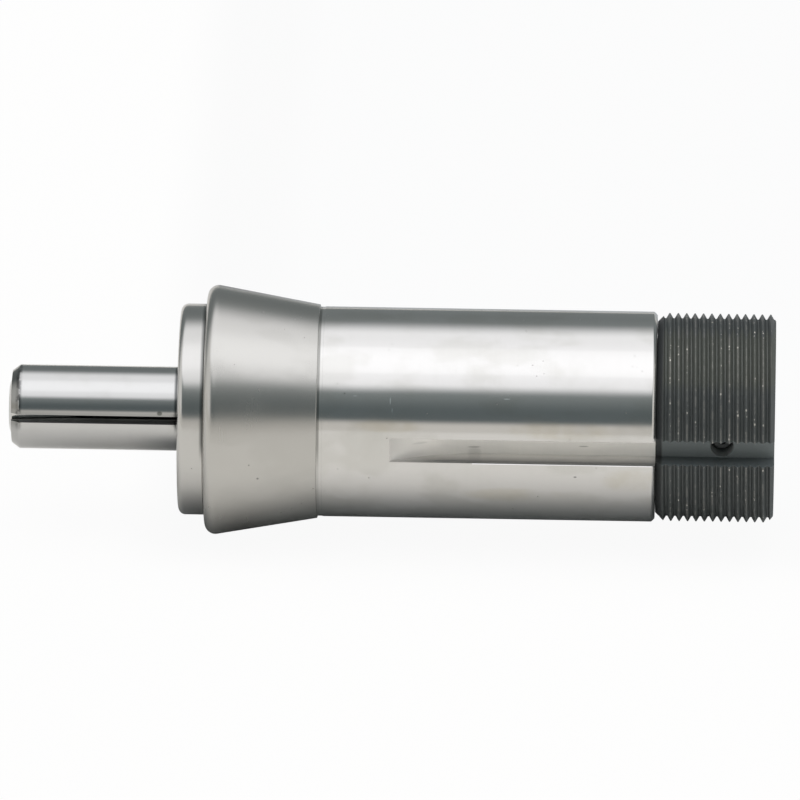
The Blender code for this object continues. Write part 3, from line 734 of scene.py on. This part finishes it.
def collet_body(finish):
    """The body, cut from the front of its head to its rear edge and back through its bore."""
    taper = math.radians(HEAD_TAPER)
    centre = HEAD_RADIUS - HEAD_CORNER
    start = HEAD_CORNER * (1.0 + math.sin(taper))
    top = centre + HEAD_CORNER * math.cos(taper)
    foot = top - (HEAD_LENGTH - start) * math.tan(taper)
    relief = BODY_RADIUS - RELIEF_DEPTH
    relief_rear = HEAD_LENGTH + RELIEF_WIDTH
    outline = [
        *arc((HEAD_CORNER, centre), HEAD_CORNER, 180.0, 90.0 - HEAD_TAPER, steps=12),
        (start + HEAD_CORNER_LAND, top - HEAD_CORNER_LAND * math.tan(taper)),
        (HEAD_LENGTH, foot, HEAD_REAR_EDGE),
        (HEAD_LENGTH, relief),
        (relief_rear, relief),
        (relief_rear, BODY_RADIUS, RELIEF_EDGE),
        (BODY_REAR - BODY_REAR_BEVEL, BODY_RADIUS, BODY_BEVEL_EDGE),
        (BODY_REAR, BODY_RADIUS - BODY_REAR_BEVEL, BODY_REAR_EDGE),
        (BODY_REAR, CHAMBER_MOUTH_RADIUS),
        (BODY_REAR - CHAMBER_MOUTH_BEVEL, CHAMBER_RADIUS),
        (RING_GROOVE_REAR, CHAMBER_RADIUS),
        (RING_GROOVE_REAR, RING_GROOVE_RADIUS),
        (RING_GROOVE_FRONT, RING_GROOVE_RADIUS),
        (RING_GROOVE_FRONT, CHAMBER_RADIUS),
        (WEB_REAR, CHAMBER_RADIUS),
        (WEB_REAR, BUSH_HOLE),
        (BUSH_FLANGE_REAR, BUSH_HOLE),
        (BUSH_FLANGE_REAR, BUSH_FLANGE_HOLE),
        (WEB_FRONT, BUSH_FLANGE_HOLE),
        (WEB_FRONT, ROOT_RADIUS + GAP),
        (PILOT_REAR + GAP, ROOT_RADIUS + GAP),
        (PILOT_REAR + GAP, PILOT_RADIUS + GAP),
        (0.0, PILOT_RADIUS + GAP),
    ]
    body = turned("collet_body_ground", eased(outline), steps=180)
    cut(body, keyway_tool())
    guide_pin_holes(body)
    screw_holes(body, steps=32)
    cut(body, chamfer_tool())
    dress(body, finish, "body", "ground_steel", "collet_body")


def stop_collar(finish):
    round_rear = COLLAR_FRONT + COLLAR_ROUND
    outline = [
        (COLLAR_FRONT, COLLAR_BORE, COLLAR_BORE_EDGE),
        *arc((round_rear, COLLAR_RADIUS - COLLAR_ROUND), COLLAR_ROUND, 180.0, 90.0, steps=8),
        (round_rear + COLLAR_ROUND_LAND, COLLAR_RADIUS),
        (COLLAR_REAR - COLLAR_REAR_BEVEL, COLLAR_RADIUS, COLLAR_REAR_EDGE),
        (COLLAR_REAR, COLLAR_RADIUS - COLLAR_REAR_BEVEL),
        (COLLAR_REAR, PILOT_RADIUS),
        (PILOT_REAR, PILOT_RADIUS, PILOT_EDGE),
        (PILOT_REAR, COLLAR_BORE),
    ]
    collar = turned("stop_collar_turned", eased(outline), steps=180)
    screw_holes(collar, steps=40)
    dress(collar, finish, "body", "satin_steel", "stop_collar")


def collar_screws(finish):
    for number, place in enumerate(screw_places(), 1):
        corners = countersink(0.0, 0.0)
        corners[1] = (*corners[1], SCREW_HEAD_EDGE)
        screw = turned(f"collar_screw_{number}_socket_head", eased(corners), steps=48)
        cut(screw, hex_tool(SCREW_HEX, -OVERSHOOT, SCREW_HEX_DEPTH))
        placed(screw, place)
        dress(screw, finish, "body", "black_oxide", f"collar_screw_{number}")


def arbor_fingers(finish):
    """One third of the slit plug, modelled once facing up, then copied to its three places."""
    mouth_rear = PLUG_FRONT + PLUG_MOUTH_LAND
    outline = [
        (PLUG_FRONT, PLUG_MOUTH),
        (PLUG_FRONT, PLUG_RADIUS - PLUG_CHAMFER_DEPTH, PLUG_FRONT_EDGE),
        (PLUG_FRONT + PLUG_CHAMFER_LENGTH, PLUG_RADIUS, PLUG_CHAMFER_EDGE),
        (PLUG_NECK_FRONT, PLUG_RADIUS),
        (PLUG_NECK_FRONT + PLUG_RADIUS - PLUG_NECK, PLUG_NECK),
        (PLUG_REAR, PLUG_NECK),
        (PLUG_REAR, PLUG_BORE),
        (mouth_rear + PLUG_MOUTH_CONE, PLUG_BORE),
        (mouth_rear, PLUG_MOUTH),
    ]
    finger = turned("finger", eased(outline), steps=126)

    beyond = 2.0
    reach = 24.0
    length = 60.0
    half = math.radians(180.0 / FINGERS)
    apex = SLIT_WIDTH / 2 / math.sin(half)
    wedge = [
        (PLUG_FRONT - beyond, y, z)
        for y, z in (
            (0.0, apex),
            (-reach * math.sin(half), apex + reach * math.cos(half)),
            (reach * math.sin(half), apex + reach * math.cos(half)),
        )
    ]
    cut(finger, slab("finger_wedge", wedge, (length, 0.0, 0.0)), "INTERSECT")

    def slit_edge(x, y, z):
        """True on the long edges between the plug's round side and its slits."""
        return abs(math.hypot(y, z) - PLUG_RADIUS) < 0.02 and z < 4.2 and x < PLUG_NECK_FRONT + 0.1

    bevel_where(finger, slit_edge, SLIT_BEVEL)
    for number in range(FINGERS):
        copy = finger.copy()
        copy.data = finger.data.copy()
        copy.name = copy.data.name = f"arbor_finger_{number + 1}_ground"
        bpy.context.collection.objects.link(copy)
        placed(copy, round_axis(finger_turn(number)))
        dress(copy, finish, f"finger_{number + 1}", "bright_steel", f"arbor_finger_{number + 1}")
    bpy.data.objects.remove(finger, do_unlink=True)


def draw_bolt(finish):
    cone_front = BOLT_FRONT + BOLT_NOSE + BOLT_HEAD_LAND
    cone_length = (BOLT_HEAD - BOLT_RADIUS) / math.tan(math.radians(BOLT_CONE))
    outline = [
        (BOLT_FRONT, 0.0),
        (BOLT_FRONT, BOLT_HEAD - BOLT_NOSE_TAPER, BOLT_NOSE_EDGE),
        (BOLT_FRONT + BOLT_NOSE, BOLT_HEAD, BOLT_HEAD_EDGE),
        (cone_front, BOLT_HEAD),
        (cone_front + cone_length, BOLT_RADIUS),
        (BOLT_REAR, BOLT_RADIUS, BOLT_REAR_EDGE),
        (BOLT_REAR, 0.0),
    ]
    bolt = turned("draw_bolt_turned", eased(outline), steps=96)
    cut(bolt, hex_tool(BOLT_HEX, BOLT_FRONT - OVERSHOOT, BOLT_FRONT + BOLT_HEX_DEPTH))

    beside = BOLT_RADIUS + 1.0
    half = DRIVER_SLOT_WIDTH / 2
    front, rear = BOLT_REAR - DRIVER_SLOT_DEPTH, BOLT_REAR + 1.0
    slot = [(front, -half, -beside), (rear, -half, -beside), (rear, half, -beside), (front, half, -beside)]
    cut(bolt, slab("driver_slot", slot, (0.0, 0.0, 2 * beside)))
    across = along_axis(CROSS_PIN_PLACE) @ Matrix.Rotation(math.pi / 2, 4, "Y")
    cut(bolt, pin_tool("cross_pin_hole", -10.0, 10.0, CROSS_PIN_HOLE, across))
    dress(bolt, finish, "draw_unit", "bright_steel", "draw_bolt")


def draw_sleeve(finish):
    """The turned blank meets a threaded rod, so that the thread runs out in the chamfers at both ends."""
    over = 0.2
    outline = [
        (SPIGOT_FRONT, SLEEVE_BORE),
        (SPIGOT_FRONT, SPIGOT_RADIUS - SPIGOT_BEVEL),
        (SPIGOT_FRONT + SPIGOT_BEVEL, SPIGOT_RADIUS),
        (SLEEVE_FRONT, SPIGOT_RADIUS),
        (SLEEVE_FRONT, THREAD_RADIUS - SLEEVE_FRONT_CHAMFER, SLEEVE_FRONT_EDGE),
        (SLEEVE_FRONT + SLEEVE_FRONT_CHAMFER + over, THREAD_RADIUS + over),
        (SLEEVE_REAR - SLEEVE_REAR_CHAMFER_LENGTH - over, THREAD_RADIUS + over),
        (SLEEVE_REAR, THREAD_RADIUS - SLEEVE_REAR_CHAMFER_DEPTH, SLEEVE_REAR_EDGE),
        (SLEEVE_REAR, SLEEVE_RECESS + SLEEVE_RECESS_BEVEL, SLEEVE_RECESS_EDGE),
        (SLEEVE_REAR - SLEEVE_RECESS_BEVEL, SLEEVE_RECESS),
        (SLEEVE_RECESS_FRONT, SLEEVE_RECESS),
        (SLEEVE_RECESS_FRONT, SLEEVE_BORE),
    ]
    sleeve = turned("draw_sleeve_threaded", eased(outline), steps=144)
    cut(sleeve, threaded("thread_rod", THREAD_ROD_FRONT, THREAD_ROD_REAR, steps=144), "INTERSECT")
    cut(sleeve, keyway_tool())
    guide_pin_holes(sleeve)
    cut(sleeve, pin_tool("lock_hole", BOLT_RADIUS, KEYWAY_FLOOR + OVERSHOOT, LOCK_HOLE, lock_place()))
    dress(sleeve, finish, "draw_unit", "black_oxide", "draw_sleeve", angle=24.0)


def return_spring(finish):
    """A round wire whose end turns lie close."""
    steps = 32
    closed_pitch = 2 * SPRING_WIRE + SPRING_END_GAP
    open_pitch = (SPRING_LENGTH - 2 * SPRING_WIRE - 2 * closed_pitch) / (SPRING_TURNS - 2)
    points = []
    for index in range(SPRING_TURNS * steps + 1):
        turn = index / steps
        closed = min(turn, 1.0) + max(turn - (SPRING_TURNS - 1), 0.0)
        x = SPRING_FRONT + SPRING_WIRE + closed_pitch * closed + open_pitch * (turn - closed)
        angle = math.tau * turn
        points.append((x, SPRING_COIL * math.cos(angle), SPRING_COIL * math.sin(angle)))
    spring = draw("return_spring_wire", points)
    bpy.ops.object.mode_set(mode="OBJECT")
    bpy.ops.object.convert(target="CURVE")
    spring.data.bevel_depth = SPRING_WIRE * MM
    spring.data.bevel_resolution = 4
    spring.data.use_fill_caps = True
    bpy.ops.object.convert(target="MESH")
    bpy.ops.object.mode_set(mode="EDIT")
    close_up()
    dress(spring, finish, "body", "spring_steel", "return_spring")
    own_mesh(spring)


def lock_screw(finish):
    corners = [
        (LOCK_SCREW_FOOT, 0.0),
        (LOCK_SCREW_FOOT, LOCK_SCREW_RADIUS, LOCK_SCREW_EDGE),
        (LOCK_SCREW_TOP, LOCK_SCREW_RADIUS, LOCK_SCREW_EDGE),
        (LOCK_SCREW_TOP, 0.0),
    ]
    screw = turned("lock_screw_socket", eased(corners), steps=48)
    cut(screw, hex_tool(LOCK_SCREW_HEX, LOCK_SCREW_TOP - LOCK_SCREW_HEX_DEPTH, LOCK_SCREW_TOP + OVERSHOOT))
    placed(screw, lock_place())
    dress(screw, finish, "draw_unit", "black_oxide", "lock_screw")


# Finishes


def spot(finish, x, z, length, height):
    """A soft patch on the side that faces the camera, with its middle and half sizes in millimetres."""
    along = (finish.x - x * MM) / (length * MM)
    across = (finish.z - z * MM) / (height * MM)
    return (along * along + across * across).between(1.0, 0.2) * finish.near_side()


def marked(finish, colour, marks, shade, strength):
    """A colour with a shade blended in at each mark of a list."""
    for mark in marks:
        colour = finish.mix(colour, shade, spot(finish, *mark) * strength)
    return colour


def pitted(finish, size):
    """Small pits of a size, in patches."""
    patches = finish.noise(finish.place, PIT_PATCHES).between(0.56, 0.66)
    return finish.specks(finish.place, PITS, size) * patches


def worked_steel(name, bright, dull, roughness):
    """A turned or ground metal, with fine lines round the axis, stains and pits. Gives its colour too."""
    finish = Finish(name)
    stain = finish.noise(finish.place, CLOUDS, 4.0, 0.6).between(0.42, 0.78)
    fine = finish.streaks(finish.x, FINE_LINES, 3.0) - 0.5
    broad = finish.streaks(finish.x, BROAD_LINES, 2.0) - 0.5
    pits = pitted(finish, 0.16)
    colour = finish.mix(bright, dull, stain * 0.5 + fine * 0.24 + broad * 0.12)
    colour = finish.mix(colour, tuple(part * 0.45 for part in dull), pits * 0.6)
    rough = roughness + stain * 0.05 + fine * 0.04 + pits * 0.2
    finish.set(base_color=colour, metallic=1.0, roughness=rough)
    return finish, colour


def plain_metal(name, bright, dull, roughness):
    return worked_steel(name, bright, dull, roughness)[0].material


def collar_steel():
    """The stop collar's satin steel, with painted shade in the upper half of its joint with the head."""
    bright, dull, painted_joint_shade = (0.535, 0.53, 0.515), (0.465, 0.46, 0.44), (0.12, 0.125, 0.12)
    finish, colour = worked_steel("satin_steel_finish", bright, dull, 0.18)
    # Painted shade along the joint with the head, strongest in its upper half.
    joint = finish.x.between_mm(-0.75, -0.25) * finish.z.between_mm(-3.0, 1.0)
    finish.set(base_color=finish.mix(colour, painted_joint_shade, joint * 0.85))
    return finish.material


def keyway_walls(finish, run_in):
    """The colour of the keyway's side walls, with painted shade and light. The lower one is painted darker
    near its edge, behind the run-in, and paler in the run-in and towards the floor; the upper one is painted
    pale.
    """
    edge_at_run_in, edge, lip_shade = (0.6, 0.59, 0.57), (0.2, 0.202, 0.198), (0.34, 0.335, 0.325)
    deep_shade, run_in_shade, upper_wall = (0.82, 0.81, 0.79), (0.7, 0.69, 0.67), (0.94, 0.925, 0.89)
    # Painted shade on the lower wall's outer edge, and painted light on its inner part, in the run-in and on
    # the upper wall.
    lip = (finish.y - run_in * 0.7 * MM).between_mm(-15.6, -14.7)
    colour = finish.mix(finish.mix(edge_at_run_in, edge, run_in), lip_shade, lip)
    colour = finish.mix(colour, deep_shade, finish.y.between_mm(-14.8, -12.2))
    colour = finish.mix(colour, run_in_shade, (1.0 - run_in) * lip)
    return finish.mix(colour, upper_wall, finish.z.between_mm(0.0, 0.5))


def ground_steel():
    """The body's ground steel, with a duller head, painted shade in its relief groove and a rough milled
    keyway whose walls and floor have painted shade and light.
    """
    bright, dull = (0.63, 0.625, 0.615), (0.54, 0.535, 0.51)
    head_bright, head_dull = (0.505, 0.498, 0.478), (0.469, 0.463, 0.441)
    floor_bright, floor_dull = (0.95, 0.935, 0.9), (0.89, 0.88, 0.85)
    painted_joint_shade, olive, pit_shade = (0.3, 0.3, 0.285), (0.54, 0.51, 0.43), (0.25, 0.24, 0.22)
    dark, scratched, smudge = (0.12, 0.12, 0.12), (0.95, 0.95, 0.95), (0.1, 0.1, 0.1)
    finish = Finish("ground_steel_finish")
    cloud = finish.noise(finish.place, CLOUDS, 4.0, 0.6)
    stain = cloud.between(0.45, 0.8)
    blotch = cloud.between(0.35, 0.62)
    film_and_sheen = finish.noise(finish.stretch(finish.place, (0.6, 1.0, 1.0)), 150.0, 3.0, 0.45).between(0.47, 0.6)
    fine = finish.streaks(finish.x, FINE_LINES, 3.0) - 0.5
    broad = finish.streaks(finish.x, BROAD_LINES, 2.0) - 0.5
    pits = pitted(finish, 0.15)
    shade = stain * 0.4 + film_and_sheen * 0.5 + fine * 0.2 + broad * 0.1

    head = finish.x.between_mm(HEAD_LENGTH + 0.1, HEAD_LENGTH)
    colour = finish.mix(finish.mix(bright, dull, shade), finish.mix(head_bright, head_dull, shade), head)
    # Painted shade in the relief groove behind the head, heaviest in its upper half.
    groove = finish.x.between_mm(HEAD_LENGTH - 0.02, HEAD_LENGTH + 0.04)
    groove = groove * finish.x.between_mm(HEAD_LENGTH + 0.5, HEAD_LENGTH + 0.3)
    upper = finish.z.between_mm(-4.0, 1.0)
    colour = finish.mix(colour, painted_joint_shade, groove * (upper * 0.7 + 0.3))
    colour = marked(finish, colour, OLIVE_STAINS, olive, blotch * 0.5)
    colour = marked(finish, colour, DARK_SPOTS, dark, 0.7)
    colour = marked(finish, colour, BRIGHT_NICKS, scratched, blotch)
    colour = finish.mix(colour, pit_shade, pits * 0.5)
    rough = 0.11 + head * 0.12 + stain * 0.04 + film_and_sheen * 0.02 + fine * 0.04 + pits * 0.2

    across = finish.z.size()
    keyway = finish.y.between_mm(-15.74, -15.7) * finish.y.between_mm(-10.5, -11.2)
    keyway = keyway * across.between_mm(KEYWAY_HALF + 0.06, KEYWAY_HALF + 0.02)
    keyway = keyway * finish.x.between_mm(KEYWAY_FRONT - 0.2, KEYWAY_FRONT + 0.4)
    wall = across.between_mm(KEYWAY_HALF - 0.02, KEYWAY_HALF - 0.005)
    run_in = finish.x.between_mm(KEYWAY_FRONT, KEYWAY_FRONT + 9.0)
    milled = finish.streaks(finish.x, 1900.0, 3.0) * 0.4 + film_and_sheen * 0.6
    # Painted light: the keyway floor is painted near white, to make up for the shade inside the slot.
    floor = finish.mix(colour, finish.mix(floor_bright, floor_dull, milled), finish.x.between_mm(28.0, 34.5))
    colour = finish.mix(colour, finish.mix(floor, keyway_walls(finish, run_in), wall), keyway)
    colour = marked(finish, colour, KEYWAY_SMUDGES, smudge, keyway * 0.4)
    colour = marked(finish, colour, KEYWAY_SMEARS, smudge, keyway * 0.14)
    deep = keyway * run_in * finish.y.between_mm(-15.6, -14.0).most(wall)
    rough = rough + keyway * 0.28 + deep * 0.12
    finish.set(base_color=colour, metallic=1.0 - deep * 0.52, roughness=rough)
    swell = finish.noise(finish.stretch(finish.place, (0.5, 1.0, 1.0)), 90.0, 1.0)
    finish.bump(swell, 0.05 * MM)
    return finish.material


def plug_steel():
    """The plug's ground steel, darker inside the slits and at the nose, with painted shade where it enters
    the stop collar.
    """
    bright, dull, inside_shade = (0.54, 0.54, 0.535), (0.47, 0.47, 0.45), (0.36, 0.37, 0.37)
    rim_shade, spot_shade, nose_shade = (0.3, 0.31, 0.31), (0.12, 0.13, 0.12), (0.3, 0.3, 0.29)
    ring_shade, painted_entry_shade = (0.1, 0.1, 0.1), (0.1, 0.105, 0.105)
    finish = Finish("plug_steel_finish")
    cloud = finish.noise(finish.place, 130.0, 4.0, 0.6).between(0.45, 0.8)
    fine = finish.streaks(finish.x, FINE_LINES, 3.0) - 0.5
    mottle = finish.noise(finish.place, 1100.0, 2.0, 0.6).between(0.42, 0.58)
    upper = finish.z.between_mm(-2.0, 0.0)
    colour = finish.mix(bright, dull, cloud * 0.5 + fine * 0.2)
    rim = finish.z.between_mm(1.9, 1.15) * finish.z.between_mm(0.4, 1.0)
    colour = finish.mix(colour, rim_shade, rim * finish.near_side() * 0.6)
    colour = marked(finish, colour, [PLUG_SPOT], spot_shade, 0.8)
    nose = finish.x.between_mm(PLUG_FRONT + 1.25, PLUG_FRONT + 1.0)
    colour = finish.mix(colour, nose_shade, nose * (upper * 0.75 + 0.25))
    ring = finish.x.between_mm(PLUG_FRONT + 0.55, PLUG_FRONT + 0.95)
    ring = ring * finish.x.between_mm(PLUG_FRONT + 1.75, PLUG_FRONT + 1.25)
    colour = finish.mix(colour, ring_shade, ring * upper * (mottle * 0.5 + 0.35))
    inside = finish.radius().between_mm(PLUG_RADIUS - 0.12, PLUG_RADIUS - 0.2)
    inside = inside * finish.x.between_mm(PLUG_FRONT + 1.1, PLUG_FRONT + 1.3)
    colour = finish.mix(colour, inside_shade, inside)
    # Painted shade where the plug enters the stop collar, mostly on its upper half.
    entry = finish.x.between_mm(COLLAR_FRONT - 0.9, COLLAR_FRONT - 0.45) * (upper * 0.85 + 0.1)
    colour = finish.mix(colour, painted_entry_shade, entry)
    finish.set(base_color=colour, metallic=1.0, roughness=0.13 + cloud * 0.04 + inside * 0.4)
    return finish.material


def black_oxide():
    """Black steel, rubbed lighter along the thread's crests, with a painted sheen on its upper near side. The
    keyway and lock hole have other shades.
    """
    dark, pale, painted_sheen = (0.075, 0.085, 0.087), (0.111, 0.121, 0.119), (0.118, 0.126, 0.109)
    crest_shade, rubbed = (0.23, 0.225, 0.21), (0.6, 0.58, 0.52)
    keyway_shade, wall_shade, chamfer_shade = (0.18, 0.205, 0.21), (0.13, 0.15, 0.155), (0.05, 0.055, 0.057)
    screw_shade, hole_shade = (0.16, 0.17, 0.17), (0.4, 0.42, 0.42)
    finish = Finish("black_oxide_finish")
    cloud = finish.noise(finish.place, 160.0, 4.0, 0.6)
    crest = finish.radius().between_mm(THREAD_RADIUS - 0.16, THREAD_RADIUS - 0.02)
    worn = finish.noise(finish.place, 420.0, 3.0, 0.7).between(0.44, 0.62)
    nicks = finish.specks(finish.place, 1400.0, 0.34) * finish.noise(finish.place, 300.0).between(0.5, 0.58)
    # Painted sheen: a lighter, warmer band along the upper near side.
    film_and_sheen = finish.z.between_mm(8.5, 10.5) * finish.z.between_mm(15.1, 14.7) * finish.near_side()
    colour = finish.mix(finish.mix(dark, pale, cloud), painted_sheen, film_and_sheen * 0.7)
    colour = finish.mix(colour, crest_shade, crest * worn * 0.5)
    colour = finish.mix(colour, rubbed, crest * nicks)

    keyway = finish.y.between_mm(-15.7, -15.5) * finish.y.between_mm(-10.8, -11.4)
    keyway = keyway * finish.z.size().between_mm(KEYWAY_HALF + 0.06, KEYWAY_HALF + 0.02)
    # Painted shade: the lower keyway wall is darker than the keyway's floor.
    lower_wall = finish.z.between_mm(0.03 - KEYWAY_HALF, 0.005 - KEYWAY_HALF)
    colour = finish.mix(colour, finish.mix(keyway_shade, wall_shade, lower_wall), keyway)
    chamfer = finish.x.between_mm(SLEEVE_FRONT + 1.1, SLEEVE_FRONT + 0.7)
    colour = finish.mix(colour, chamfer_shade, chamfer)

    along = finish.x - LOCK_PLACE * MM
    from_hole = (along * along + finish.z * finish.z).power(0.5)
    hole = from_hole.between_mm(LOCK_HOLE + 0.04, LOCK_HOLE + 0.01) * finish.near_side()
    hole = hole * finish.y.between_mm(-11.56, -11.4)
    hole_wall = from_hole.between_mm(LOCK_HOLE - 0.2, LOCK_HOLE - 0.1)
    colour = finish.mix(colour, finish.mix(screw_shade, hole_shade, hole_wall), hole)
    finish.set(base_color=colour, metallic=0.35, roughness=0.45 - crest * 0.05 + cloud * 0.1)
    return finish.material


# The scene

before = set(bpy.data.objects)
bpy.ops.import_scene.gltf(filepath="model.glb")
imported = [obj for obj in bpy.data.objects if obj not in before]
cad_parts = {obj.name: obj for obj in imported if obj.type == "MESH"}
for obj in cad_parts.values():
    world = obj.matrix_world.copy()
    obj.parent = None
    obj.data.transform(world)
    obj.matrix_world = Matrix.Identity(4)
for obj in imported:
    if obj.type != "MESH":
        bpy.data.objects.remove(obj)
cad_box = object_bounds()

set_camera((cad_box[0] + cad_box[1]) / 2)
set_floor(cad_box[0].z)
set_light()

bright = plain_metal("bright_steel_finish", (0.6, 0.6, 0.59), (0.5, 0.5, 0.48), 0.14)
black = black_oxide()

collet_body(ground_steel())
stop_collar(collar_steel())
collar_screws(black)
arbor_fingers(plug_steel())
draw_bolt(bright)
draw_sleeve(black)
lock_screw(black)

spring = plain_metal("spring_steel_finish", (0.32, 0.31, 0.3), (0.2, 0.19, 0.18), 0.3)
bronze = plain_metal("bronze_finish", (0.6, 0.38, 0.18), (0.42, 0.26, 0.12), 0.32)
brass = plain_metal("brass_finish", (0.76, 0.56, 0.25), (0.6, 0.42, 0.18), 0.28)
return_spring(spring)

# The hidden pieces keep their solids' shapes and get a finish
for node, finish in {
    "arbor_root": bright,
    "guide_bush": bronze,
    "spring_collar": spring,
    "spring_collar_pin": bright,
    "spring_seat_washer": bright,
    "retaining_ring": spring,
    "guide_pin_upper": bright,
    "guide_pin_lower": bright,
    "lock_pad": brass,
}.items():
    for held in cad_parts[node].material_slots:
        held.material = finish
